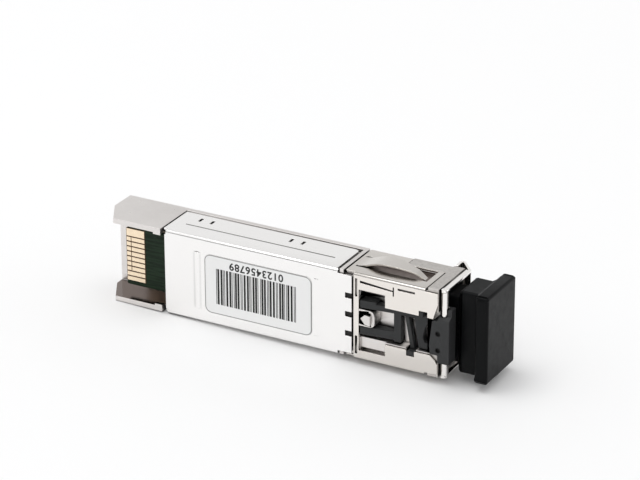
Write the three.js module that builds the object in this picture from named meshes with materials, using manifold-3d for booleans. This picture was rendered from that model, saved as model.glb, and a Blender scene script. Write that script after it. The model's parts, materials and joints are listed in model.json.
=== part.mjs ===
// Small-form pluggable optical transceiver, duplex LC, with its dust plug fitted. Millimetres.
// Inside the module group, x runs from the rear edge to the optical nose, y from the bottom cover to the
// top wall, and z across the width. The module lies on one narrow side, so z is also up.
import * as THREE from 'three';
import { mergeVertices } from 'three/addons/utils/BufferGeometryUtils.js';
import Module from 'manifold-3d';

const wasm = await Module();
wasm.setup();

// ---- driving dimensions ----
const WIDTH = 13.4;
const HEIGHT = 8.5;
const LENGTH = 55.7;
const MID_Z = WIDTH / 2;
const SHEET = 0.25;
const SHEET_GAP = 0.05;
const SEAM = 0.3;
const SIDE_STEP = SHEET + SHEET_GAP;
const RIM_Y = 7.7;

const REAR_LENGTH = 10.35;
const REAR_WALL = 0.8;
const REAR_BEVEL = { x: 2.3, y: 4.1 };
const BAY_DEPTH = 5.5;
const CAVITY = { x0: 10.3, x1: 39.2, y1: 7.5, wall: 1.0 };
const RIB = { x0: 39.95, x1: 40.6 };
const NOSE_END_X = 54.0;
const NOSE_FLANGE = 0.15;

const COVER = { x0: REAR_LENGTH + SEAM, plateX0: 11.05, flapX1: 39.55, flapY1: 7.25, x1: 42.05, bend: 0.45 };
const COLLAR = { x0: 40.9, x1: 53.7, faceX0: 42.35 };
const LABEL = { x0: 17.87, x1: 35.6, z0: 1.83, z1: 11.1, corner: 1.0, thick: 0.08 };

const BOARD = { x0: 3.04, x1: 34.4, shoulderX: 10.9, y0: 2.25, y1: 3.25, tongue: 9.2, width: 11.2 };
const CONTACT = { count: 10, pitch: 0.8, width: 0.6, x0: 3.15, x1: 6.2, thick: 0.05, wideEnd: 11.15 };

const PORT_PITCH = 6.25;
const PORT_Y = 5.05;
const PORT_SIZE = 4.7;
const PORT_Z = [MID_Z - PORT_PITCH / 2, MID_Z + PORT_PITCH / 2];

const BAIL_AXIS = { x: 56.4, y: 1.0, r: 0.5 };
const BAIL_HALF = 6.85;
const BAIL_SHEET = 0.38;

// ---- materials ----
const material = (color, roughness, metalness) =>
  new THREE.MeshStandardMaterial({ color, roughness, metalness });
const DIE_CAST = material(0xb9b2ac, 0.45, 0.9);
const COVER_STEEL = material(0xe4e4e2, 0.3, 0.9);
const COLLAR_STEEL = material(0xd2ccc6, 0.25, 1.0);
const BAIL_STEEL = material(0xdedad4, 0.2, 1.0);
const PAPER = material(0xf4f4f2, 0.7, 0.0);
const SOLDER_MASK = material(0x1b2a22, 0.45, 0.0);
const GOLD = material(0xe7c98f, 0.25, 1.0);
const BLACK_NYLON = material(0x2a2a2b, 0.55, 0.0);
const PLUG_RUBBER = material(0x1d1e20, 0.6, 0.0);
const PORT_PLASTIC = material(0x33363a, 0.5, 0.0);
const CAN_STEEL = material(0xcfc9b8, 0.25, 1.0);
const CHIP_BLACK = material(0x202224, 0.5, 0.0);
const CERAMIC = material(0xb59f7a, 0.5, 0.0);
const POLYIMIDE = material(0xa8662a, 0.4, 0.0);
const SOFT_PAD = material(0x8fa3b0, 0.8, 0.0);

// ---- solids ----
function solid(geometry) {
  geometry.deleteAttribute('normal');
  geometry.deleteAttribute('uv');
  const merged = mergeVertices(geometry, 1e-4);
  return new wasm.Manifold(
    new wasm.Mesh({
      numProp: 3,
      vertProperties: merged.attributes.position.array,
      triVerts: new Uint32Array(merged.index.array),
    }),
  );
}
const join = (...solids) => solids.reduce((a, b) => a.add(b));
const cut = (base, ...tools) => tools.reduce((a, b) => a.subtract(b), base);

function block(x0, x1, y0, y1, z0, z1) {
  const box = new THREE.BoxGeometry(x1 - x0, y1 - y0, z1 - z0);
  return solid(box.translate((x0 + x1) / 2, (y0 + y1) / 2, (z0 + z1) / 2));
}

// An outline is a list of [a, b] points, or [a, b, radius] where the corner is rounded.
function outlineShape(points) {
  const corners = points.map(([a, b, radius = 0]) => ({ at: new THREE.Vector2(a, b), radius }));
  const shape = new THREE.Shape();
  corners.forEach(({ at, radius }, i) => {
    const before = corners.at(i - 1).at.clone().sub(at).setLength(radius).add(at);
    const after = corners[(i + 1) % corners.length].at.clone().sub(at).setLength(radius).add(at);
    if (i === 0) shape.moveTo(before.x, before.y);
    else shape.lineTo(before.x, before.y);
    if (radius > 0) shape.quadraticCurveTo(at.x, at.y, after.x, after.y);
  });
  return shape;
}
const X_AXIS = new THREE.Vector3(1, 0, 0);
const Y_AXIS = new THREE.Vector3(0, 1, 0);
const Z_AXIS = new THREE.Vector3(0, 0, 1);
function extrude(points, depth, basis) {
  const options = { depth, bevelEnabled: false, curveSegments: 4 };
  return new THREE.ExtrudeGeometry(outlineShape(points), options).applyMatrix4(basis);
}
const PLAN = new THREE.Matrix4();
const FACE = new THREE.Matrix4().makeBasis(X_AXIS, Z_AXIS, Y_AXIS.clone().negate());
const SECTION = new THREE.Matrix4().makeBasis(Y_AXIS, Z_AXIS, X_AXIS);
// An x-y outline from z0 to z1, an x-z outline from y0 to y1, and a y-z outline from x0 to x1.
const slabXY = (points, z0, z1) => solid(extrude(points, z1 - z0, PLAN).translate(0, 0, z0));
const slabXZ = (points, y0, y1) => solid(extrude(points, y1 - y0, FACE).translate(0, y1, 0));
const slabYZ = (points, x0, x1) => solid(extrude(points, x1 - x0, SECTION).translate(x0, 0, 0));

function rodX(x0, x1, y, z, r, sides = 20) {
  const rod = new THREE.CylinderGeometry(r, r, x1 - x0, sides).rotateZ(-Math.PI / 2);
  return solid(rod.translate((x0 + x1) / 2, y, z));
}
function rodY(x, y0, y1, z, r, sides = 20) {
  const rod = new THREE.CylinderGeometry(r, r, y1 - y0, sides);
  return solid(rod.translate(x, (y0 + y1) / 2, z));
}
function rodZ(x, y, z0, z1, r, sides = 20) {
  const rod = new THREE.CylinderGeometry(r, r, z1 - z0, sides).rotateX(Math.PI / 2);
  return solid(rod.translate(x, y, (z0 + z1) / 2));
}
// A profile of [radius, x] points turned about the axis that runs along x at (y, z).
function turned(profile, y, z, sides = 24) {
  const points = profile.map(([r, x]) => new THREE.Vector2(r, x));
  return solid(new THREE.LatheGeometry(points, sides).rotateZ(-Math.PI / 2).translate(0, y, z));
}

// The outline of a bent strip of even thickness, whose middle follows the points.
function ribbon(points, thick) {
  const path = points.map(([a, b]) => new THREE.Vector2(a, b));
  const offset = path.map((p, i) => {
    const ends = [path[i - 1], path[i + 1]];
    const normals = [];
    if (ends[0]) normals.push(p.clone().sub(ends[0]).normalize());
    if (ends[1]) normals.push(ends[1].clone().sub(p).normalize());
    const sides = normals.map((d) => new THREE.Vector2(-d.y, d.x));
    const mean = sides.reduce((a, b) => a.clone().add(b)).normalize();
    return mean.multiplyScalar(thick / 2 / mean.dot(sides[0]));
  });
  const left = path.map((p, i) => [p.x + offset[i].x, p.y + offset[i].y]);
  const right = path.map((p, i) => [p.x - offset[i].x, p.y - offset[i].y]);
  return [...right, ...left.reverse()];
}

const mirrorZ = (piece) => piece.mirror([0, 0, 1]).translate([0, 0, WIDTH]);
const bothSides = (piece) => piece.add(mirrorZ(piece));

const module = new THREE.Group();
function place(name, piece, look) {
  const mesh = piece.getMesh();
  const geometry = new THREE.BufferGeometry();
  const positions = new THREE.BufferAttribute(new Float32Array(mesh.vertProperties), 3);
  geometry.setAttribute('position', positions);
  geometry.setIndex(new THREE.BufferAttribute(new Uint32Array(mesh.triVerts), 1));
  geometry.computeVertexNormals();
  const node = new THREE.Mesh(geometry, look);
  node.name = name;
  module.add(node);
}

// ---- housing ----
const LATCH = { x0: 43.2, x1: 45.75, z0: 5.35, z1: 7.95, shoulderX: 45.2 };
const CHANNEL = { x0: 43.2, y1: 2.0, z0: 3.4, z1: 10.0 };

function latchPost() {
  const { x0, x1, z0, z1 } = LATCH;
  const top = [[x0, z0], [x1, z0, 0.9], [x1, z1, 0.9], [x0, z1]];
  const front = LATCH.shoulderX;
  const ramp = [[43.45, 0.2], [43.45, 0.0], [front, -0.45], [front, 0.2]];
  const plan = [[43.45, 6.5], [44.25, 5.75], [front, 5.75], [front, 7.27], [44.25, 7.27]];
  const boss = slabXY(ramp, z0, z1).intersect(slabXZ(plan, -1, 1));
  const rim = 0.35;
  const dish = block(x0 + 0.1, LATCH.shoulderX, -1, 0.12, z0 + rim, z1 - rim);
  return join(cut(slabXZ(top, 0, CHANNEL.y1 + 0.3), dish), boss);
}

// The slit above the near window, seen in the collar and cut deeper into the nose behind it.
const UPPER_SLIT = [[43.4, 12.05], [48.75, 11.75], [48.75, 11.95], [43.4, 12.4]];

function housing() {
  const rearSide = [
    [REAR_BEVEL.x, 0], [REAR_LENGTH, 0], [REAR_LENGTH, HEIGHT], [0, HEIGHT], [0, REAR_BEVEL.y],
  ];
  const rear = slabXY(rearSide, 0, WIDTH);
  const middle = block(REAR_LENGTH, RIB.x0, SIDE_STEP, RIM_Y + 0.1, SIDE_STEP, WIDTH - SIDE_STEP);
  const rim = block(REAR_LENGTH, RIB.x0, RIM_Y, HEIGHT, 0, WIDTH);
  const rib = block(RIB.x0, RIB.x1, SIDE_STEP, HEIGHT, 0, WIDTH);
  const nose = block(RIB.x1, NOSE_END_X, SIDE_STEP, HEIGHT - SIDE_STEP, SIDE_STEP, WIDTH - SIDE_STEP);
  const shoulder = block(47.75, NOSE_END_X, 6.3, HEIGHT + 0.05, 0, WIDTH);
  const flange = block(NOSE_END_X, LENGTH, SIDE_STEP, HEIGHT + 0.1, -NOSE_FLANGE, WIDTH + NOSE_FLANGE);
  const tabs = bothSides(block(9.1, REAR_LENGTH, 0, 0.7, WIDTH - 1.08, WIDTH - REAR_WALL));

  const bay = block(-1, COVER.plateX0, -1, BAY_DEPTH, REAR_WALL, WIDTH - REAR_WALL);
  const cavity = block(CAVITY.x0, CAVITY.x1, -1, CAVITY.y1, CAVITY.wall, WIDTH - CAVITY.wall);
  const throat = block(CAVITY.x1 - 0.1, 42.1, 2.0, 7.5, 1.5, WIDTH - 1.5);
  const gasketSeat = block(40.1, 42.0, -1, 0.9, 1.5, WIDTH - 1.5);
  const pocket = block(42.0, LENGTH + 1, 2.6, 7.9, 0.9, WIDTH - 0.9);
  const channel = block(CHANNEL.x0, LENGTH + 1, -1, CHANNEL.y1, CHANNEL.z0, CHANNEL.z1);
  const upperRecess = block(43.3, 47.35, -1, 1.3, 9.4, 10.95);
  const lowerRecess = block(43.3, 47.35, -1, 0.6, 1.75, 4.0);
  const lowerSlot = block(43.3, 47.35, -1, 1.6, 1.2, 1.75);
  const upperSlit = slabXZ(UPPER_SLIT, -1, 1.4);
  const springSeat = block(50.7, 52.2, -1, CHANNEL.y1, 2.3, CHANNEL.z0 + 0.1);
  const fingerSeat = bothSides(block(41.8, 53.3, 2.4, 6.0, WIDTH - 0.65, WIDTH + 1));
  const farFingerSeat = bothSides(block(45.9, 47.4, HEIGHT - 0.85, HEIGHT + 1, 7.6, 11.2));

  const seamGroove = bothSides(block(REAR_LENGTH, REAR_LENGTH + SEAM, -1, RIM_Y, WIDTH - 0.7, WIDTH + 1));
  const seamCorner = bothSides(block(REAR_LENGTH, 11.4, -1, 0.95, WIDTH - REAR_WALL - 0.1, WIDTH + 1));
  const ribGroove = bothSides(block(COVER.flapX1, RIB.x0, -1, RIM_Y, WIDTH - 0.7, WIDTH + 1));
  const collarGroove = bothSides(block(RIB.x1, COLLAR.x0, -1, HEIGHT + 1, WIDTH - 0.7, WIDTH + 1));
  const faceGroove = block(42.0, 42.45, -1, 0.9, 0.6, WIDTH - 0.6);
  const cornerGroove = bothSides(block(RIB.x1, 42.45, -1, 0.75, WIDTH - 0.85, WIDTH + 1));
  const rimGroove = bothSides(block(REAR_LENGTH, RIB.x0, COVER.flapY1, RIM_Y, WIDTH - 0.7, WIDTH + 1));

  const pedestal = block(24.8, 29.2, 5.2, CAVITY.y1 + 0.1, 7.0, 11.4);
  const ledge = (x) => bothSides(block(x, x + 2, BOARD.y1, 4.0, CAVITY.wall - 0.1, CAVITY.wall + 0.5));
  const shell = cut(
    join(rear, middle, rim, rib, nose, shoulder, flange),
    bay, cavity, throat, gasketSeat, pocket, channel, upperRecess, lowerRecess, lowerSlot, upperSlit,
    springSeat, fingerSeat, farFingerSeat, seamGroove, seamCorner, ribGroove, rimGroove,
    collarGroove, faceGroove, cornerGroove,
  );
  return join(shell, tabs, latchPost(), pedestal, ledge(12), ledge(31.5));
}

// ---- sheet metal ----
function channelOutline(depth, thick, bend) {
  return [
    [0, 0, bend], [depth, 0], [depth, thick], [thick, thick, bend - thick],
    [thick, WIDTH - thick, bend - thick], [depth, WIDTH - thick], [depth, WIDTH], [0, WIDTH, bend],
  ];
}

const BEAD_STEPS = [0, 0.125, 0.25, 0.375, 0.5, 0.625, 0.75, 0.875, 1];
function bottomCover() {
  const { flapY1 } = COVER;
  const sheet = slabYZ(channelOutline(flapY1, SHEET, COVER.bend), COVER.x0, COVER.x1);
  const bead = (x0, x1, rise) => {
    const crest = BEAD_STEPS.map((t) => [x0 + (x1 - x0) * t, -rise * Math.sin(Math.PI * t) ** 2]);
    return slabXY([[x0, 0.1], ...crest, [x1, 0.1]], 2.1, 11.1);
  };
  const flapEnd = block(COVER.flapX1, 43, 0.3, 9, -1, WIDTH + 1);
  const frontCorners = bothSides(block(39.8, 43, -1, 9, WIDTH - 0.6, WIDTH + 1));
  const rearEdge = block(10, COVER.plateX0, -1, 0.6, -1, WIDTH + 1);
  const rearCorners = bothSides(block(10, COVER.plateX0 + 0.2, -1, 0.6, WIDTH - 0.7, WIDTH + 1));
  const farCorner = [[39.0, 8], [39.0, flapY1], [39.4, 7.1], [39.55, 6.7], [40, 6.7], [40, 8]];
  const farCorners = slabXY(farCorner, -1, WIDTH + 1);
  const notches = [3.25, 6.28, 9.23].map((z) => block(41.0, 43, -1, 1, z, z + 0.82));
  const slot = (x) => block(x, x + 0.42, 5.0, 6.15, WIDTH - 1, WIDTH + 1);
  const lances = [13.8, 29.0].map((x) => bothSides(join(slot(x), slot(x + 1.95))));
  const scores = bothSides(block(12.8, 37.6, 3.24, 3.38, WIDTH - 0.09, WIDTH + 1));
  return cut(
    join(sheet, bead(15.95, 17.2, 0.2), bead(35.95, 36.65, 0.08)),
    flapEnd, frontCorners, rearEdge, rearCorners, farCorners, scores, ...notches, ...lances,
  );
}

function serialLabel() {
  const { x0, x1, z0, z1, corner, thick } = LABEL;
  return slabXZ([[x0, z0, corner], [x1, z0, corner], [x1, z1, corner], [x0, z1, corner]], -thick, 0);
}


// A spring finger's profile over a side at height zero: bowed out, then turned down at its free end.
function fingerProfile(points) {
  const curve = new THREE.SplineCurve(points.map(([x, rise]) => new THREE.Vector2(x, rise - SHEET / 2)));
  return ribbon(curve.getPoints(18).map(({ x, y }) => [x, y]), SHEET);
}
const SIDE_FINGER = {
  y0: 2.6,
  y1: 5.7,
  profile: [[41.2, 0], [42.4, 0.1], [44.8, 0.86], [47.0, 1.0], [49.2, 0.92], [51.0, 0.7], [52.4, 0.0]],
  plan: [[41, 2.6], [53, 2.6], [53, 3.3], [51, 3.9], [48, 5.2], [45, 5.7], [41, 5.7]],
};
const FAR_FINGER = {
  z0: 7.8,
  z1: 11.0,
  profile: [[41.2, 0], [42.4, 0.08], [44.1, 0.42], [45.8, 0.25], [46.9, -0.25]],
};

function emiCollar() {
  const inner = SHEET;
  const bend = 0.4;
  const tube = cut(
    slabYZ([[0, 0, bend], [HEIGHT, 0, bend], [HEIGHT, WIDTH, bend], [0, WIDTH, bend]], COLLAR.x0, COLLAR.x1),
    block(0, 60, inner, HEIGHT - inner, inner, WIDTH - inner),
  );
  const tongues = block(COLLAR.x1 - 0.5, LENGTH, 0, SHEET, bend, WIDTH - bend);
  const rearEdge = block(40, COLLAR.faceX0, -1, 0.6, -1, WIDTH + 1);
  const leftWindow = block(43.2, 47.4, -1, 0.5, 1.4, 10.95);
  const upperSlit = slabXZ(UPPER_SLIT, -1, 0.5);
  const middleWindow = block(47.3, 60, -1, 0.5, 3.2, 9.0);
  const hookNotch = block(52.76, 54.08, -1, 0.5, 8.9, 9.8);
  const springNotch = block(50.82, 52.05, -1, 0.5, 2.36, 3.3);
  const tick = block(48.62, 48.8, -1, 0.5, 11.1, 12.5);
  const slit = block(49.4, 52.1, -1, 0.5, 12.2, 12.5);
  const tongueTaper = slabXZ([[56, 11.2], [55.7, 11.2], [54.95, 8.8], [56, 8.8]], -1, 0.5);
  const plateCorner = [[56, 1.9], [56, 3.5], [54.5, 3.5], [54.6, 3.2], [55.4, 2.5], [55.7, 1.9]];
  const plateTaper = slabXZ(plateCorner, -1, 0.5);
  const shoulderWindow = block(47.7, 60, 6.25, 9, -1, WIDTH + 1);
  const sideWindow = bothSides(block(41.5, 52.8, 2.3, 6.05, WIDTH - 0.6, WIDTH + 1));
  const bandSlots = bothSides(block(42.6, 42.95, -1, 0.5, 9.8, 12.6));
  const farWindow = bothSides(block(41.6, 47.3, 7.5, 9, 7.6, 11.2));
  const sideFinger = bothSides(
    slabXZ(fingerProfile(SIDE_FINGER.profile), SIDE_FINGER.y0, SIDE_FINGER.y1)
      .intersect(slabXY(SIDE_FINGER.plan, -2, 2))
      .translate([0, 0, WIDTH]),
  );
  const farFinger = bothSides(
    slabXY(fingerProfile(FAR_FINGER.profile), FAR_FINGER.z0, FAR_FINGER.z1).translate([0, HEIGHT, 0]),
  );
  const sheet = cut(
    join(tube, tongues),
    rearEdge, leftWindow, upperSlit, middleWindow, hookNotch, springNotch, tick, slit,
    tongueTaper, plateTaper, shoulderWindow, sideWindow, bandSlots, farWindow,
  );
  return join(sheet, sideFinger, farFinger);
}

// ---- circuit board and its contacts ----
function circuitBoard() {
  const tongue = [MID_Z - BOARD.tongue / 2, MID_Z + BOARD.tongue / 2];
  const body = [MID_Z - BOARD.width / 2, MID_Z + BOARD.width / 2];
  const outline = [
    [BOARD.x0, tongue[0], 0.3], [BOARD.shoulderX, tongue[0]], [BOARD.shoulderX, body[0]], [BOARD.x1, body[0]],
    [BOARD.x1, body[1]], [BOARD.shoulderX, body[1]], [BOARD.shoulderX, tongue[1]], [BOARD.x0, tongue[1], 0.3],
  ];
  return slabXZ(outline, BOARD.y0, BOARD.y1);
}

function contactZ(i) {
  const centre = MID_Z + (i - (CONTACT.count - 1) / 2) * CONTACT.pitch;
  const wide = i === CONTACT.count - 1;
  return [centre - CONTACT.width / 2, wide ? CONTACT.wideEnd : centre + CONTACT.width / 2];
}

function placeContacts(side, y0, y1) {
  for (let i = 0; i < CONTACT.count; i++) {
    const pad = block(CONTACT.x0, CONTACT.x1, y0, y1, ...contactZ(i));
    place(`contact_${side}_${i + 1}`, pad, GOLD);
  }
}

// ---- optics ----
function lcReceptacle() {
  const body = block(42.05, 55.3, 2.65, 7.85, 0.95, WIDTH - 0.95);
  const half = PORT_SIZE / 2;
  const ports = PORT_Z.map((z) => block(47.5, 56, PORT_Y - half, PORT_Y + half, z - half, z + half));
  const latchSlots = PORT_Z.map((z) => block(49, 56, 7, 8, z - 1.3, z + 1.3));
  const bores = PORT_Z.map((z) => rodX(42, 47.6, PORT_Y, z, 1.6));
  return cut(body, ...ports, ...latchSlots, ...bores);
}

function opticsRetainer() {
  const bores = PORT_Z.map((z) => rodX(39, 42.1, PORT_Y, z, 1.6));
  return cut(block(39.25, 41.95, 2.05, 7.45, 1.55, WIDTH - 1.55), ...bores);
}

const opticalBarrel = (z) => turned(
  [[0, 38.65], [2.3, 38.65], [2.3, 39.2], [1.5, 39.2], [1.5, 46.9], [0.63, 46.9], [0.63, 42.9], [0, 42.9]],
  PORT_Y, z,
);
const opticalCan = (z) => turned(
  [[0, 35.4], [2.4, 35.4], [2.4, 36.1], [2.1, 36.1], [2.1, 38.4], [1.9, 38.6], [0, 38.6]],
  PORT_Y, z,
);
const flexCircuit = (z) => slabXY(
  ribbon([[35.3, 6.8], [35.3, 4.4], [35.0, 3.7], [34.5, 3.35], [31.6, 3.32]], 0.1), z - 1.5, z + 1.5,
);

// ---- parts on the top side of the board ----
const BOARD_PARTS = [
  { name: 'laser_driver_chip', x: 25, z: 7.2, size: [4, 0.9, 4], look: CHIP_BLACK },
  { name: 'receiver_amplifier_chip', x: 26, z: 2.6, size: [3, 0.9, 3], look: CHIP_BLACK },
  { name: 'microcontroller_chip', x: 15, z: 4.2, size: [5, 0.9, 5], look: CHIP_BLACK },
  { name: 'memory_chip', x: 12, z: 8.4, size: [2.2, 0.8, 3], look: CHIP_BLACK },
  { name: 'power_switch_chip', x: 12, z: 2.3, size: [2, 0.8, 2.2], look: CHIP_BLACK },
  { name: 'clock_crystal', x: 21.2, z: 2.0, size: [2, 0.8, 3.2], look: CAN_STEEL },
  { name: 'filter_inductor_1', x: 21.2, z: 9.6, size: [1.6, 1.4, 2], look: CHIP_BLACK },
  { name: 'filter_inductor_2', x: 21.2, z: 6.6, size: [1.6, 1.4, 2], look: CHIP_BLACK },
  ...[0, 1, 2, 3].map((i) => (
    { name: `coupling_capacitor_${i + 1}`, x: 8, z: 3.6 + i * 1.8, size: [1, 0.5, 0.6], look: CERAMIC }
  )),
];

// ---- release slider, spring, bail and plug ----
const SLIDER = { y0: 0.9, y1: 1.8 };
const GRIP = { y0: -0.1, dimpleX: 55.84, dimpleZ: [6.9, 4.3] };

function releaseSlider() {
  const { y0, y1 } = SLIDER;
  const tineSide = [[43.35, 0.12], [45.0, 0.25], [48.5, y0], [48.5, y1], [43.35, y1]];
  const upperFace = [[43.35, 8.1], [48.5, 8.1], [48.5, 8.95], [45.8, 8.95], [45.8, 9.3], [43.35, 9.3]];
  const upperTine = slabXY(tineSide, 8, 9.5).intersect(slabXZ(upperFace, 0, 3));
  const lowerTine = slabXY(tineSide, 3.95, 5.25);
  const crossBar = block(48.35, 49.55, y0, y1, 3.6, 9.3);
  const rail = block(49.5, 54.0, y0, y1, 8.0, 8.85);
  const hook = block(52.8, 53.4, 0.05, y1, 8.8, 9.7);
  const webFace = [
    [51.6, 8.05], [54.0, 8.05], [53.3, 6.7], [53.0, 5.3], [53.3, 4.5, 0.2],
    [54.8, 4.4], [54.8, 3.5], [52.3, 3.5],
  ];
  const web = slabXZ(webFace, y0, y1);
  const rootFace = [[54.9, 8.75], [55.85, 8.9], [55.85, 3.5], [54.6, 3.5], [54.45, 5.0]];
  const root = slabXZ(rootFace, GRIP.y0, 1.95);
  const face = [[GRIP.y0, 2.35], [2.05, 2.35], [2.05, 10.55], [0.75, 10.55], [0.7, 9.55], [GRIP.y0, 9.15]];
  const grip = slabYZ(face, 55.76, 57.6);
  const bore = rodZ(BAIL_AXIS.x, BAIL_AXIS.y, -1, WIDTH + 1, BAIL_AXIS.r + 0.1);
  const dimples = GRIP.dimpleZ.map((z) => rodY(GRIP.dimpleX, GRIP.y0 - 1, GRIP.y0 + 0.3, z, 0.3));
  return cut(join(upperTine, lowerTine, crossBar, rail, hook, web, root, grip), bore, ...dimples);
}

function returnSpring() {
  const leg = [[50.15, 7.97], [50.75, 7.97], [51.62, 3.3], [51.9, 2.45], [50.95, 2.45], [51.0, 3.4]];
  const foot = block(50.95, 51.9, 0.05, 1.7, 2.45, 3.1);
  return join(slabXZ(leg, SLIDER.y0 + 0.05, 1.7), foot);
}

function bail() {
  const { x, y, r } = BAIL_AXIS;
  const low = MID_Z - BAIL_HALF;
  const high = MID_Z + BAIL_HALF;
  const bendX = x + 0.2;
  const handlePath = [[bendX, 8.2], [bendX, 8.35], [54.75, 10.5], [54.4, 10.6], [54.2, 10.3], [54.3, 8.85]];
  const handle = slabXY(ribbon(handlePath, BAIL_SHEET), low, high);
  const legFace = [[x - 0.4, 0.35, 0.3], [x + 0.4, 0.35, 0.3], [x + 0.39, 8.35], [x - 0.4, 8.35]];
  const leg = slabXY(legFace, high - BAIL_SHEET, high);
  const elbow = block(x - 0.55, x + 0.55, 0.7, 1.3, 10.7, high);
  return join(handle, bothSides(leg), bothSides(elbow), rodZ(x, y, low, high, r));
}

function dustPlug() {
  const grip = slabXY([[57.9, 2.35, 0.4], [61.1, 2.35], [61.1, 7.85], [57.9, 7.85, 0.4]], 0.3, WIDTH - 0.3);
  const flangeFace = [[0.96, -0.05, 0.5], [10.16, -0.05, 0.5], [10.16, 13.45, 0.5], [0.96, 13.45, 0.5]];
  const flange = slabYZ(flangeFace, 61, 63.04);
  const half = 2.1;
  const posts = PORT_Z.map((z) => block(48.2, 58, PORT_Y - half, PORT_Y + half, z - half, z + half));
  const bores = PORT_Z.map((z) => rodX(48, 53, PORT_Y, z, 0.9));
  return cut(join(grip, flange, ...posts), ...bores);
}

// ---- assembly ----
place('housing', housing(), DIE_CAST);
place('bottom_cover', bottomCover(), COVER_STEEL);
place('serial_label', serialLabel(), PAPER);
place('emi_collar', emiCollar(), COLLAR_STEEL);
place('circuit_board', circuitBoard(), SOLDER_MASK);
placeContacts('bottom', BOARD.y0 - CONTACT.thick, BOARD.y0);
placeContacts('top', BOARD.y1, BOARD.y1 + CONTACT.thick);
place('lc_receptacle', lcReceptacle(), PORT_PLASTIC);
place('optics_retainer', opticsRetainer(), DIE_CAST);
['receiver', 'transmitter'].forEach((role, i) => {
  place(`${role}_barrel`, opticalBarrel(PORT_Z[i]), CAN_STEEL);
  place(`${role}_can`, opticalCan(PORT_Z[i]), CAN_STEEL);
  place(`${role}_flex`, flexCircuit(PORT_Z[i]), POLYIMIDE);
});
for (const { name, x, z, size, look } of BOARD_PARTS) {
  place(name, block(x, x + size[0], BOARD.y1, BOARD.y1 + size[1], z, z + size[2]), look);
}
place('thermal_pad', block(25.3, 28.7, 4.18, 5.17, 7.5, 10.9), SOFT_PAD);
place('cover_gasket', block(40.15, 41.95, 0.28, 0.87, 1.6, WIDTH - 1.6), SOFT_PAD);
place('release_slider', releaseSlider(), BLACK_NYLON);
place('return_spring', returnSpring(), BLACK_NYLON);
place('bail', bail(), BAIL_STEEL);
place('dust_plug', dustPlug(), PLUG_RUBBER);

// The origin is the centre of the whole object's footprint.
const bounds = new THREE.Box3().setFromObject(module);
const middle = bounds.getCenter(new THREE.Vector3());
module.position.set(-middle.x, -middle.y, -bounds.min.z);
const transceiver = new THREE.Group();
transceiver.add(module);

export default transceiver;
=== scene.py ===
"""Looks of a pluggable optical transceiver with its dust plug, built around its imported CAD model."""

import json
import math

import bmesh
import bpy
from mathutils import Matrix, Quaternion, Vector


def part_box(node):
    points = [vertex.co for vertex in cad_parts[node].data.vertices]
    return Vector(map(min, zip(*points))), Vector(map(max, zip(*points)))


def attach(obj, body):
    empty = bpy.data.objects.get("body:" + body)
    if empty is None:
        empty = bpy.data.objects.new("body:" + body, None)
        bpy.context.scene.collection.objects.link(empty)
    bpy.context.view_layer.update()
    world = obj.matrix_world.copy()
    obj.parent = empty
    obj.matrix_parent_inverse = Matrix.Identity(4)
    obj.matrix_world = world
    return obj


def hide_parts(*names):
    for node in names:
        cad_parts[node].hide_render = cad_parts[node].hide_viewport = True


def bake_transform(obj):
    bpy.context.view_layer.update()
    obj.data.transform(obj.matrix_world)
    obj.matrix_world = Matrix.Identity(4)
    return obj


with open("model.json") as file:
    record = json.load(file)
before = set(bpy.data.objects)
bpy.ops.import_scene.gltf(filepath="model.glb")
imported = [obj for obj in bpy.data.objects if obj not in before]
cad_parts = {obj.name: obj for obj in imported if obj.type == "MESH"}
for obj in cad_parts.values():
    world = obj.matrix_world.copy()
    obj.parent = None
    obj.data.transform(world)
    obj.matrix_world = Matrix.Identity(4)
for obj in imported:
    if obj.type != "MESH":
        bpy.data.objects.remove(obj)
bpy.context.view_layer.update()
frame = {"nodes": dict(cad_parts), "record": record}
MM = 0.001

# The module frame, in millimetres: x from the rear edge to the nose, y from the cover plate to the
# top wall, z across the width. The board and the housing say where it lies in the row frame.
BOARD_LOW_Y = 2.25
FLANGE_LOW_Z = -0.15
MODULE_ORIGIN = Vector(
    (
        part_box("housing")[0].x,
        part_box("circuit_board")[0].y - BOARD_LOW_Y * MM,
        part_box("housing")[0].z - FLANGE_LOW_Z * MM,
    )
)


def at(x, y, z):
    """A point of the module frame, in millimetres, as a point of the row frame, in metres."""
    return MODULE_ORIGIN + Vector((x, y, z)) * MM


# ---- camera ----
CAMERA = {"azimuth": 28.784, "elevation": 24.377, "roll": 0.188, "distance": 0.45453, "lens": 178.4}
CAMERA_TARGET = at(34.648, 4.25, 15.143)
SENSOR_WIDTH = 36
CLIP_START = 0.01
CLIP_END = 20


def make_camera():
    azimuth = math.radians(CAMERA["azimuth"])
    elevation = math.radians(CAMERA["elevation"])
    back = Vector(
        (
            math.sin(azimuth) * math.cos(elevation),
            -math.cos(azimuth) * math.cos(elevation),
            math.sin(elevation),
        )
    )
    data = bpy.data.cameras.new("camera")
    data.lens = CAMERA["lens"]
    data.sensor_width = SENSOR_WIDTH
    data.clip_start = CLIP_START
    data.clip_end = CLIP_END
    camera = bpy.data.objects.new("camera", data)
    camera.location = CAMERA_TARGET + back * CAMERA["distance"]
    camera.rotation_mode = "QUATERNION"
    roll = Quaternion((0, 0, 1), -math.radians(CAMERA["roll"]))
    camera.rotation_quaternion = (-back).to_track_quat("-Z", "Y") @ roll
    bpy.context.scene.collection.objects.link(camera)
    bpy.context.scene.camera = camera


# ---- node trees ----
# A noise texture's value is mostly between these two.
NOISE_LOW = 0.3
NOISE_HIGH = 0.7

# The first and second colour and the result of a colour mix node, by place among its sockets.
MIX_FIRST = 6
MIX_SECOND = 7
MIX_RESULT = 2


def tinted(color, amount):
    return tuple(channel * amount for channel in color)


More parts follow.
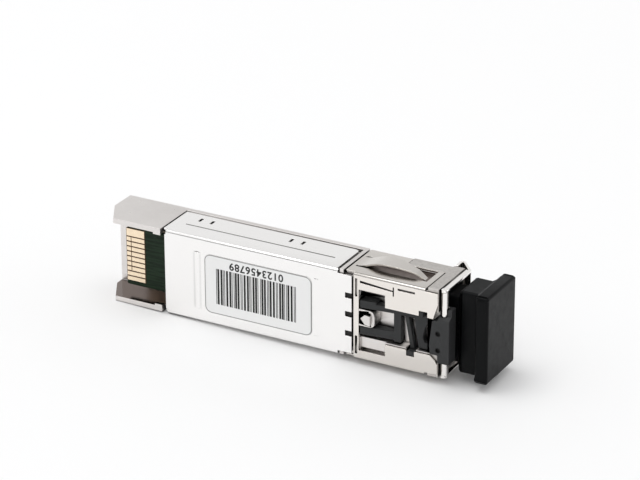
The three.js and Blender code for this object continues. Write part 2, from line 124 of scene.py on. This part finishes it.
class Surface:
    """A material whose nodes are added one by one. Texture coordinates are millimetres of the row frame."""

    def __init__(self, name, color, roughness, metallic=0.0, ior=1.5, specular=0.5):
        self.material = bpy.data.materials.new(name)
        self.material.use_nodes = True
        self.tree = self.material.node_tree
        self.shader = self.tree.nodes["Principled BSDF"]
        self.set("Base Color", (*color, 1))
        self.set("Roughness", roughness)
        self.set("Metallic", metallic)
        self.set("IOR", ior)
        self.set("Specular IOR Level", specular)
        coordinates = self.add("ShaderNodeTexCoord")
        scaled = self.add("ShaderNodeVectorMath", operation="SCALE")
        self.tree.links.new(coordinates.outputs["Object"], scaled.inputs[0])
        scaled.inputs["Scale"].default_value = 1 / MM
        self.position = scaled.outputs[0]

    def set(self, socket, value):
        self.shader.inputs[socket].default_value = value

    def add(self, kind, **settings):
        node = self.tree.nodes.new(kind)
        for key, value in settings.items():
            setattr(node, key, value)
        return node

    def feed(self, node, socket, value):
        if isinstance(value, bpy.types.NodeSocket):
            self.tree.links.new(value, node.inputs[socket])
        else:
            node.inputs[socket].default_value = value

    def stretched(self, x, y, z):
        """The position with each axis multiplied: a small factor draws a pattern out along its axis."""
        node = self.add("ShaderNodeVectorMath", operation="MULTIPLY")
        self.feed(node, 0, self.position)
        self.feed(node, 1, (x, y, z))
        return node.outputs[0]

    def noise(self, scale, detail=2.0, roughness=0.5, vector=None):
        node = self.add("ShaderNodeTexNoise")
        self.feed(node, "Vector", vector or self.position)
        self.feed(node, "Scale", scale)
        self.feed(node, "Detail", detail)
        self.feed(node, "Roughness", roughness)
        return node.outputs["Fac"]

    def between(self, factor, low, high, start=0.0, end=1.0):
        """The factor's range from start to end, mapped to the range from low to high."""
        node = self.add("ShaderNodeMapRange", clamp=True)
        self.feed(node, "Value", factor)
        self.feed(node, "From Min", start)
        self.feed(node, "From Max", end)
        self.feed(node, "To Min", low)
        self.feed(node, "To Max", high)
        return node.outputs["Result"]

    def mixed(self, factor, first, second):
        node = self.add("ShaderNodeMix", data_type="RGBA")
        self.feed(node, "Factor", factor)
        for slot, value in ((MIX_FIRST, first), (MIX_SECOND, second)):
            self.feed(node, slot, value if isinstance(value, bpy.types.NodeSocket) else (*value, 1))
        return node.outputs[MIX_RESULT]

    def uneven(self, factor, color, darkest, lightest):
        """The colour, varied by the factor from one multiple of it to another."""
        return self.mixed(factor, tinted(color, darkest), tinted(color, lightest))

    def maths(self, operation, first, second):
        node = self.add("ShaderNodeMath", operation=operation)
        self.feed(node, 0, first)
        self.feed(node, 1, second)
        return node.outputs[0]

    def inside(self, axis, low, high, soft=0.02):
        """1 where that coordinate of the module frame is from low to high millimetres, and 0 elsewhere."""
        parts = self.add("ShaderNodeSeparateXYZ")
        self.feed(parts, 0, self.position)
        shift = MODULE_ORIGIN["xyz".index(axis)] / MM
        value = parts.outputs[axis.upper()]
        above = self.between(value, 0.0, 1.0, low + shift - soft, low + shift + soft)
        below = self.between(value, 1.0, 0.0, high + shift - soft, high + shift + soft)
        return self.maths("MULTIPLY", above, below)

    def region(self, limits):
        """1 within the limits, which give (low, high) or (low, high, soft) for some axes, and 0 outside."""
        factor = None
        for axis, span in limits.items():
            part = self.inside(axis, *span)
            factor = self.maths("MULTIPLY", factor, part) if factor else part
        return factor

    def disc(self, x, z, radius, soft=0.06):
        """1 within the radius of that point of the module frame, seen along y, and 0 outside it."""
        centre = at(x, 0, z) / MM
        flat = self.stretched(1, 0, 1)
        reach = self.add("ShaderNodeVectorMath", operation="DISTANCE")
        self.feed(reach, 0, flat)
        self.feed(reach, 1, (centre.x, 0, centre.z))
        return self.between(reach.outputs["Value"], 1.0, 0.0, radius - soft, radius + soft)

    def gaps(self, color, distance, dark=(0.012, 0.010, 0.009), start=0.38, end=0.80):
        """The colour, with painted shade in the gaps and inner corners that are narrower than the distance.
        """
        # Painted shade: ambient occlusion mixes the colour towards the dark one in narrow gaps.
        node = self.add("ShaderNodeAmbientOcclusion", samples=8)
        self.feed(node, "Distance", distance * MM)
        open_air = self.between(node.outputs["AO"], 0.0, 1.0, start, end)
        return self.mixed(open_air, dark, color)

    def color(self, output):
        self.tree.links.new(output, self.shader.inputs["Base Color"])

    def rough(self, output):
        self.tree.links.new(output, self.shader.inputs["Roughness"])

    def rough_by(self, noise, low, high):
        """A roughness that goes from low to high with the noise."""
        self.rough(self.between(noise, low, high, NOISE_LOW, NOISE_HIGH))

    def bump(self, height, distance):
        """Adds a bump of that height in millimetres on top of the bumps already there."""
        node = self.add("ShaderNodeBump")
        self.feed(node, "Height", height)
        self.feed(node, "Distance", distance * MM)
        self.feed(node, "Strength", 1.0)
        previous = self.shader.inputs["Normal"]
        if previous.is_linked:
            self.tree.links.new(previous.links[0].from_socket, node.inputs["Normal"])
        self.tree.links.new(node.outputs["Normal"], previous)


# ---- places with a look of their own, or with painted shade ----
# Millimetres of the module frame, as (low, high) or (low, high, soft).
NOSE = {"x": (47.6, 60.0), "y": (6.2, 9.0)}
FLANGE = {"x": (54.02, 60.0)}
# The connector bay and the casting under the collar finger get painted shade; the bay is also polished.
CONNECTOR_BAY = {"y": (0.06, 5.45), "z": (0.75, 2.05), "x": (0.1, 11.2)}
UNDER_FINGER = {"x": (41.9, 53.3), "y": (2.38, 6.02), "z": (12.6, 13.12)}
# Painted shade along the scored line on the cover.
SCORE_LINE = {"x": (12.8, 37.6), "y": (3.17, 3.45)}
# Painted shade on the flanks of the cover's bead.
BEAD_FLANK_REAR = (15.95, 16.2, 0.14)
BEAD_FLANK_FRONT = (17.0, 17.15, 0.14)
BEAD_Z = (2.2, 11.0, 0.3)
COVER_PLATE_Y = (-1.0, 0.1)
# Painted shade on the collar's upper side and along its lower edge.
COLLAR_UPPER_SIDE = {"z": (13.15, 20.0, 0.1)}
COLLAR_LOWER_EDGE = {"z": (-2.0, 3.4, 1.2)}
CONTACT_SPLIT = {"x": (3.86, 3.98), "z": (4.3, 9.9)}
BARE_BOARD = {"x": (3.0, 6.32), "z": (2.75, 11.25)}

# The centres of the slider's two grip holes, x and z, and the radius of the painted shade around each, which
# makes each hole look deeper and wider.
GRIP_HOLES = ((55.84, 6.9, 0.42), (55.84, 4.3, 0.42))


# ---- materials ----
CAST_COLOR = (0.79, 0.76, 0.74)
CAST_TINTS = (0.95, 1.03)
CAST_ROUGHNESS = (0.27, 0.42)
CAST_PITS = ((0.36, 0.34, 0.32), (0.78, 0.75, 0.72))
# Painted shade: the colour of the connector bay and of the casting under the collar finger.
CAST_PAINTED_SHADE = (0.20, 0.165, 0.15)
# How far, in millimetres, the painted shade reaches into the casting's gaps and inner corners.
CAST_GAP = 0.55
CAST_GRAIN_HEIGHT = 0.006
CAST_PIT_HEIGHT = 0.05
BAY_ROUGHNESS = 0.13


def die_cast():
    """Plated zinc casting: satin outside, rough and dull on the nose, polished low in the bay, with painted
    shade in the bay, under the collar finger and in its gaps.
    """
    s = Surface("die_cast", CAST_COLOR, roughness=0.34, metallic=1.0)
    cast = s.uneven(s.noise(scale=0.35, detail=3.0), CAST_COLOR, *CAST_TINTS)
    dull = s.maths("MAXIMUM", s.region(NOSE), s.region(FLANGE))
    pits = s.noise(scale=2.6, detail=4.0, roughness=0.7)
    bay = s.region(CONNECTOR_BAY)
    # Painted shade in the connector bay and under the collar finger, and then in the gaps.
    painted_shade_places = s.maths("MAXIMUM", bay, s.region(UNDER_FINGER))
    clean = s.mixed(dull, cast, s.mixed(pits, *CAST_PITS))
    s.color(s.gaps(s.mixed(painted_shade_places, clean, CAST_PAINTED_SHADE), CAST_GAP))
    wear = s.noise(scale=1.3, detail=4.0, roughness=0.65)
    satin = s.between(wear, *CAST_ROUGHNESS, NOISE_LOW, NOISE_HIGH)
    s.rough(s.between(bay, satin, BAY_ROUGHNESS))
    s.bump(s.noise(scale=5.0, detail=3.0, roughness=0.6), CAST_GRAIN_HEIGHT)
    s.bump(s.maths("MULTIPLY", pits, dull), CAST_PIT_HEIGHT)
    return s


ROLLED_ALONG = {"x": (0.12, 3.0, 3.0), "z": (3.0, 3.0, 0.12)}
SHEET_TINTS = (0.975, 1.01)
SHEET_ROUGHNESS_SPREAD = (0.85, 1.2)
# Painted shade in the scored line.
SCORE_PAINTED_SHADE = (0.16, 0.16, 0.155)
# Painted shade on the bead's flanks, as a multiple of the cover's colour.
BEAD_FLANK_PAINTED_SHADE = 0.80
# Painted shade on the collar's upper side and on its lower edge, as multiples of its colour.
COLLAR_UPPER_PAINTED_SHADE = 0.74
COLLAR_LOWER_PAINTED_SHADE = 0.84
SHEET_WAVE_HEIGHT = 0.008


def sheet_steel(name, color, roughness, grain, along="x", gap=0.35, scored=False, with_painted_shade=False):
    """Rolled sheet with its grain along one axis and painted shade in its gaps. The cover is scored, with
    painted shade along the score and on the bead's flanks; the collar has painted shade on its upper side and
    lower edge.
    """
    s = Surface(name, color, roughness, metallic=1.0)
    lines = s.noise(scale=4.0, detail=4.0, roughness=0.7, vector=s.stretched(*ROLLED_ALONG[along]))
    smudge = s.noise(scale=0.22, detail=3.0, roughness=0.55)
    plain = s.uneven(smudge, color, *SHEET_TINTS)
    if scored:
        # Painted shade along the score line.
        plain = s.mixed(s.region(SCORE_LINE), plain, SCORE_PAINTED_SHADE)
        # Painted shade on the bead's flanks.
        flanks = s.maths("MAXIMUM", s.inside("x", *BEAD_FLANK_REAR), s.inside("x", *BEAD_FLANK_FRONT))
        flanks = s.maths("MULTIPLY", flanks, s.region({"z": BEAD_Z, "y": COVER_PLATE_Y}))
        plain = s.mixed(flanks, plain, tinted(color, BEAD_FLANK_PAINTED_SHADE))
    if with_painted_shade:
        # Painted shade on the collar's upper side and lower edge.
        plain = s.mixed(s.region(COLLAR_UPPER_SIDE), plain, tinted(color, COLLAR_UPPER_PAINTED_SHADE))
        plain = s.mixed(s.region(COLLAR_LOWER_EDGE), plain, tinted(color, COLLAR_LOWER_PAINTED_SHADE))
    # Painted shade in the sheet's gaps and inner corners, where a gap is given.
    s.color(s.gaps(plain, gap) if gap else plain)
    s.rough_by(smudge, *(roughness * amount for amount in SHEET_ROUGHNESS_SPREAD))
    s.bump(lines, grain)
    s.bump(s.noise(scale=0.16, detail=1.0), SHEET_WAVE_HEIGHT)
    return s


GOLD_COLOR = (1.0, 0.83, 0.62)
GOLD_TINTS = (0.94, 1.0)
GOLD_ROUGHNESS = (0.24, 0.40)
GOLD_GRAIN_HEIGHT = 0.003
GOLD_SPLIT_COLOR = (0.10, 0.05, 0.02)


def gold_plate():
    """Edge contacts. A thin dark line splits the lead-in from the pad on seven of them."""
    s = Surface("gold", GOLD_COLOR, roughness=0.3, metallic=1.0)
    worn = s.uneven(s.noise(scale=1.2, detail=3.0), GOLD_COLOR, *GOLD_TINTS)
    s.color(s.mixed(s.region(CONTACT_SPLIT), worn, GOLD_SPLIT_COLOR))
    s.rough_by(s.noise(scale=3.0, detail=3.0), *GOLD_ROUGHNESS)
    s.bump(s.noise(scale=7.0), GOLD_GRAIN_HEIGHT)
    return s


MASK_COLOR = (0.010, 0.021, 0.011)
MASK_ROUGHNESS = (0.26, 0.38)
LAMINATE_COLOR = (0.085, 0.040, 0.017)
TRACK_SHADE = 1.55
TRACK_EDGES = (0.45, 0.55)
TRACK_HEIGHT = 0.02


def board_mask():
    """Dark green solder mask with faint tracks, and bare brown laminate between the contacts."""
    s = Surface("solder_mask", MASK_COLOR, roughness=0.32, ior=1.22)
    tracks = s.noise(scale=1.4, detail=1.0, roughness=0.4, vector=s.stretched(0.15, 1.0, 2.2))
    raised = s.between(tracks, 0.0, 1.0, *TRACK_EDGES)
    mask = s.uneven(raised, MASK_COLOR, 1.0, TRACK_SHADE)
    s.color(s.mixed(s.region(BARE_BOARD), mask, LAMINATE_COLOR))
    s.rough_by(tracks, *MASK_ROUGHNESS)
    s.bump(raised, TRACK_HEIGHT)
    return s


PAPER_COLOR = (0.92, 0.922, 0.918)
PAPER_TINTS = (0.985, 1.01)
PAPER_ROUGHNESS = (0.5, 0.62)
PAPER_TOOTH_HEIGHT = 0.0015


def paper():
    """Matt white film with a faint, fine tooth."""
    s = Surface("label_paper", PAPER_COLOR, roughness=0.55, specular=0.3)
    s.color(s.uneven(s.noise(scale=0.25), PAPER_COLOR, *PAPER_TINTS))
    s.rough_by(s.noise(scale=2.0, detail=3.0), *PAPER_ROUGHNESS)
    s.bump(s.noise(scale=14.0), PAPER_TOOTH_HEIGHT)
    return s


MOULDED_TINTS = (0.85, 1.2)
SMOOTHER_BY = 0.05
ROUGHER_BY = 0.08
# Painted shade at the holes and in the creases, as multiples of the colour.
HOLE_PAINTED_SHADE = 0.04
CREASE_PAINTED_SHADE = 0.05
CREASE_RANGE = (0.55, 0.9)


def moulded(name, color, roughness, grain=0.004, ior=1.5, specular=0.5, gap=None, holes=()):
    """Moulded plastic or rubber, with painted shade at its holes and, where a gap is given, in its creases.
    """
    s = Surface(name, color, roughness, ior=ior, specular=specular)
    shaded = s.uneven(s.noise(scale=0.4, detail=3.0), color, *MOULDED_TINTS)
    # Painted shade around each hole.
    for x, z, radius in holes:
        shaded = s.mixed(s.disc(x, z, radius), shaded, tinted(color, HOLE_PAINTED_SHADE))
    # Painted shade in the creases, where a gap is given.
    s.color(s.gaps(shaded, gap, tinted(color, CREASE_PAINTED_SHADE), *CREASE_RANGE) if gap else shaded)
    wear = s.noise(scale=0.9, detail=4.0, roughness=0.6)
    s.rough_by(wear, roughness - SMOOTHER_BY, roughness + ROUGHER_BY)
    s.bump(s.noise(scale=9.0, roughness=0.6), grain)
    return s


LOOKS = {
    "die_cast": die_cast(),
    "cover_steel": sheet_steel("cover_steel", (0.955, 0.945, 0.935), 0.17, grain=0.001, scored=True),
    # The collar gets painted shade on its upper side and lower edge.
    "collar_steel": sheet_steel("collar_steel", (0.86, 0.82, 0.775), 0.17, grain=0.001, with_painted_shade=True),
    "bail_steel": sheet_steel("bail_steel", (0.91, 0.89, 0.865), 0.13, grain=0.001, along="z", gap=None),
    "label_paper": paper(),
    "solder_mask": board_mask(),
    "gold": gold_plate(),
    # Black nylon, with painted shade around its grip holes and in its creases.
    "black_nylon": moulded(
        "black_nylon",
        (0.030, 0.031, 0.032),
        0.5,
        grain=0.006,
        specular=0.3,
        gap=0.3,
        holes=GRIP_HOLES,
    ),
    "plug_rubber": moulded("plug_rubber", (0.0032, 0.0036, 0.0040), 0.36, ior=1.19),
    "port_plastic": moulded("port_plastic", (0.02, 0.021, 0.022), 0.45),
    "can_steel": sheet_steel("can_steel", (0.80, 0.77, 0.70), 0.25, grain=0.002),
    "chip_black": moulded("chip_black", (0.02, 0.02, 0.021), 0.5),
    "ceramic": moulded("ceramic", (0.45, 0.33, 0.20), 0.4),
    "polyimide": moulded("polyimide", (0.40, 0.16, 0.03), 0.3),
    "soft_pad": moulded("soft_pad", (0.012, 0.011, 0.010), 0.7),
    "ink": moulded("ink", (0.006, 0.006, 0.006), 0.6, grain=0.001),
    # Painted shade along the label's cut edge.
    "label_rim": moulded("label_rim", (0.30, 0.30, 0.295), 0.6, grain=0.001),
}


BODY_OF = {node: body for body, nodes in frame["record"]["behaviour"]["bodies"].items() for node in nodes}
LOOK_OF = {part["node"]: part["material_slot"] for part in frame["record"]["subparts"]}


def dress(piece, look):
    piece.data.materials.clear()
    piece.data.materials.append(LOOKS[look].material)


for node, look in LOOK_OF.items():
    dress(frame["nodes"][node], look)


# ---- meshes and pieces ----
JOINED_WITHIN = 0.002 * MM
FLAT_WITHIN = math.radians(1.0)


def finished_mesh(work, mesh):
    """The mesh, filled from the edited one, which is freed."""
    work.to_mesh(mesh)
    work.free()
    return mesh


def add_object(name, mesh, look):
    piece = bpy.data.objects.new(name, mesh)
    bpy.context.scene.collection.objects.link(piece)
    dress(piece, look)
    return piece


def add_piece(name, mesh, body, look):
    """A piece that rides on the body. Its finish comes from the record's slot, or from the look's own."""
    piece = add_object(name, mesh, look)
    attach(piece, body)
    return piece


def whole_mesh(node):
    """A CAD node's mesh with its split corners joined and its flat faces made whole."""
    mesh = frame["nodes"][node].data.copy()
    mesh.name = f"{node}_worked"
    work = bmesh.new()
    work.from_mesh(mesh)
    bmesh.ops.remove_doubles(work, verts=work.verts, dist=JOINED_WITHIN)
    bmesh.ops.dissolve_limit(work, angle_limit=FLAT_WITHIN, verts=work.verts, edges=work.edges)
    return finished_mesh(work, mesh)


# ---- pieces with broken edges ----
SHARP_ANGLE = math.radians(28.0)
BEVEL_SEGMENTS = 2

# The width of the broken edges of each piece, in millimetres.
EDGE_WIDTHS = {
    "housing": 0.06,
    "bottom_cover": 0.045,
    "emi_collar": 0.05,
    "serial_label": 0.02,
    "circuit_board": 0.04,
    "release_slider": 0.09,
    "bail": 0.09,
    "dust_plug": 0.42,
    "lc_receptacle": 0.1,
    "optics_retainer": 0.1,
}


def work_edges(node, width):
    """Stands a copy of a CAD node in its place, with each sharp edge broken by that width in millimetres."""
    mesh = whole_mesh(node)
    mesh.shade_smooth()
    mesh.set_sharp_from_angle(angle=SHARP_ANGLE)
    piece = add_piece(f"{node}_worked", mesh, BODY_OF[node], LOOK_OF[node])
    bevel = piece.modifiers.new("broken_edges", "BEVEL")
    bevel.width = width * MM
    bevel.segments = BEVEL_SEGMENTS
    bevel.limit_method = "ANGLE"
    bevel.angle_limit = SHARP_ANGLE
    bevel.harden_normals = True
    bevel.use_clamp_overlap = False
    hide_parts(node)


for node, width in EDGE_WIDTHS.items():
    work_edges(node, width)


# ---- the spring leg, cut across its length ----
SPRING_FOOT_Z = 3.35
SPRING_TOP_Z = 7.9
SPRING_CUTS = 12


def spring_leg():
    """The leg, cut across its length at even steps from its foot to its top."""
    mesh = whole_mesh("return_spring")
    work = bmesh.new()
    work.from_mesh(mesh)
    for cut in range(SPRING_CUTS + 1):
        z = SPRING_FOOT_Z + (SPRING_TOP_Z - SPRING_FOOT_Z) * cut / SPRING_CUTS
        everything = work.verts[:] + work.edges[:] + work.faces[:]
        bmesh.ops.bisect_plane(work, geom=everything, plane_co=at(0, 0, z), plane_no=(0, 0, 1))
    piece = add_object("return_spring_worked", finished_mesh(work, mesh), "black_nylon")
    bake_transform(piece)
    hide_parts("return_spring")


spring_leg()


# ---- print on the label, and painted shade at its rim ----
LABEL_FACE_Y = (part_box("serial_label")[0].y - MODULE_ORIGIN.y) / MM
INK_HEIGHT = 0.012
BARCODE = {"x0": 19.8, "x1": 33.3, "z0": 3.45, "z1": 9.12, "unit": 0.105}
DIGITS = {"size": 1.62, "heavier_by": 0.035, "spacing": 1.12, "x": 26.5, "z": 10.02}
# The rim is a grey ring of painted shade along the label's cut edge.
RIM = {"width": 0.13, "corner": 1.0, "steps": 6, "front": -0.004, "back": 0.02}
QUARTER_TURN = 90


def bar_units(index):
    return 1 + (7 * index * index + 3 * index) % 4


def space_units(index):
    return 1 + (index % 3 == 1) + (index % 7 == 5)


def barcode():
    """Bars whose widths follow a formula, so that they hold no number."""
    work = bmesh.new()
    x = BARCODE["x0"]
    index = 0
    while x + bar_units(index) * BARCODE["unit"] <= BARCODE["x1"]:
        width = bar_units(index) * BARCODE["unit"]
        low = at(x, LABEL_FACE_Y - INK_HEIGHT, BARCODE["z0"])
        high = at(x + width, LABEL_FACE_Y + INK_HEIGHT, BARCODE["z1"])
        corners = bmesh.ops.create_cube(work, size=1)["verts"]
        bmesh.ops.scale(work, vec=high - low, verts=corners)
        bmesh.ops.translate(work, vec=(low + high) / 2, verts=corners)
        x += width + space_units(index) * BARCODE["unit"]
        index += 1
    return finished_mesh(work, bpy.data.meshes.new("label_bars"))


def label_digits():
    """The ten digits in order, upside down above the bars."""
    text = bpy.data.curves.new("digits", "FONT")
    text.body = "0123456789"
    text.size = DIGITS["size"] * MM
    text.align_x = "CENTER"
    text.align_y = "CENTER"
    text.extrude = INK_HEIGHT * MM
    text.offset = DIGITS["heavier_by"] * MM
    text.space_character = DIGITS["spacing"]
    holder = bpy.data.objects.new("digits", text)
    bpy.context.scene.collection.objects.link(holder)
    bpy.context.view_layer.update()
    mesh = bpy.data.meshes.new_from_object(holder)
    bpy.data.objects.remove(holder)
    middle = at(DIGITS["x"], LABEL_FACE_Y, DIGITS["z"])
    turn = Matrix(((-1, 0, 0), (0, 0, -1), (0, -1, 0))).to_4x4()
    mesh.transform(Matrix.Translation(middle) @ turn)
    return mesh


def rim_ring(work, inset, y):
    """The corners of one loop around the label, moved in by the inset."""
    low, high = ((corner - MODULE_ORIGIN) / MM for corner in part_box("serial_label"))
    reach = RIM["corner"] - inset
    ring = []
    for quarter in range(4):
        x = high.x - RIM["corner"] if quarter in (0, 3) else low.x + RIM["corner"]
        z = high.z - RIM["corner"] if quarter in (0, 1) else low.z + RIM["corner"]
        for step in range(RIM["steps"] + 1):
            angle = math.radians(QUARTER_TURN * (quarter + step / RIM["steps"]))
            ring.append(work.verts.new(at(x + reach * math.cos(angle), y, z + reach * math.sin(angle))))
    return ring


def label_rim():
    """A fine grey line around the label: painted shade along its cut edge."""
    work = bmesh.new()
    front = LABEL_FACE_Y + RIM["front"]
    back = LABEL_FACE_Y + RIM["back"]
    rings = [
        rim_ring(work, 0.0, front),
        rim_ring(work, RIM["width"], front),
        rim_ring(work, RIM["width"], back),
        rim_ring(work, 0.0, back),
    ]
    for first, second in zip(rings, rings[1:] + rings[:1]):
        for i in range(len(first)):
            j = (i + 1) % len(first)
            work.faces.new((first[i], first[j], second[j], second[i]))
    bmesh.ops.recalc_face_normals(work, faces=work.faces)
    return finished_mesh(work, bpy.data.meshes.new("label_rim"))


# The rim is painted shade along the label's edge.
add_piece("label_rim", label_rim(), "chassis", "label_rim")
add_piece("label_bars", barcode(), "chassis", "ink")
add_piece("label_digits", label_digits(), "chassis", "ink")


# ---- stage ----
FLOOR_SIZE = 3.0
FLOOR_COLOR = (0.92, 0.92, 0.922)
FLOOR_REST = {"rear": at(2.3, 0, 0), "front": at(46.9, 0, -1.0)}
KEY_LIGHT = {"place": (-0.25, -0.12, 1.1), "size": 0.7, "power": 3.2}
ROOM_STRENGTH = 1.07

# The brightness of the room behind the object and in front of it, at heights from the horizon, 0, to
# straight up, 1. The dips draw the thin dark lines along the cover's bends.
ROOM_BACK = (
    (0.0, 0.95),
    (0.3, 0.82),
    (0.5, 0.80),
    (0.62, 0.72),
    (0.70, 0.08),
    (0.77, 0.08),
    (0.86, 1.2),
    (1.0, 1.5),
)
ROOM_FRONT = (
    (0.0, 0.05),
    (0.14, 0.1),
    (0.26, 0.85),
    (0.5, 0.95),
    (0.8, 1.0),
    (1.0, 1.5),
)

# The back of the room changes to its front between these two values of the direction's y.
BACK_ENDS_Y = 0.1
FRONT_STARTS_Y = -0.4


def make_floor():
    """A pale sheet that touches the rear edge of the housing and the lower spring finger, where it rests."""
    slope = FLOOR_REST["front"] - FLOOR_REST["rear"]
    tilt = math.atan2(-slope.z, slope.x)
    bpy.ops.mesh.primitive_plane_add(size=FLOOR_SIZE, location=FLOOR_REST["rear"], rotation=(0, tilt, 0))
    floor = bpy.context.object
    floor.name = "floor"
    floor.data.materials.append(Surface("floor", FLOOR_COLOR, roughness=0.75, specular=0.2).material)


def make_key_light():
    data = bpy.data.lights.new("key", "AREA")
    data.shape = "DISK"
    data.size = KEY_LIGHT["size"]
    data.energy = KEY_LIGHT["power"]
    light = bpy.data.objects.new("key", data)
    light.location = KEY_LIGHT["place"]
    light.rotation_mode = "QUATERNION"
    aim = CAMERA_TARGET - Vector(KEY_LIGHT["place"])
    light.rotation_quaternion = aim.to_track_quat("-Z", "Y")
    bpy.context.scene.collection.objects.link(light)


def room_gradient(tree, height, stops):
    """A grey that follows the stops with the height."""
    ramp = tree.nodes.new("ShaderNodeValToRGB")
    ramp.color_ramp.interpolation = "B_SPLINE"
    elements = ramp.color_ramp.elements
    while len(elements) < len(stops):
        elements.new(0.5)
    for element, (position, value) in zip(elements, stops):
        element.position = position
        element.color = (value, value, value, 1)
    tree.links.new(height, ramp.inputs["Fac"])
    return ramp.outputs["Color"]


def make_world():
    """A white room that is dim low down on the camera's side and in a band high up on the other side."""
    world = bpy.data.worlds.new("room")
    world.use_nodes = True
    tree = world.node_tree
    coordinates = tree.nodes.new("ShaderNodeTexCoord")
    parts = tree.nodes.new("ShaderNodeSeparateXYZ")
    tree.links.new(coordinates.outputs["Generated"], parts.inputs[0])
    side = tree.nodes.new("ShaderNodeMapRange")
    side.inputs["From Min"].default_value = BACK_ENDS_Y
    side.inputs["From Max"].default_value = FRONT_STARTS_Y
    tree.links.new(parts.outputs["Y"], side.inputs["Value"])
    mix = tree.nodes.new("ShaderNodeMix")
    mix.data_type = "RGBA"
    tree.links.new(side.outputs["Result"], mix.inputs["Factor"])
    tree.links.new(room_gradient(tree, parts.outputs["Z"], ROOM_BACK), mix.inputs[MIX_FIRST])
    tree.links.new(room_gradient(tree, parts.outputs["Z"], ROOM_FRONT), mix.inputs[MIX_SECOND])
    background = tree.nodes["Background"]
    tree.links.new(mix.outputs[MIX_RESULT], background.inputs["Color"])
    background.inputs["Strength"].default_value = ROOM_STRENGTH
    bpy.context.scene.world = world


make_camera()
make_floor()
make_key_light()
make_world()
bpy.context.scene.view_settings.view_transform = "Standard"
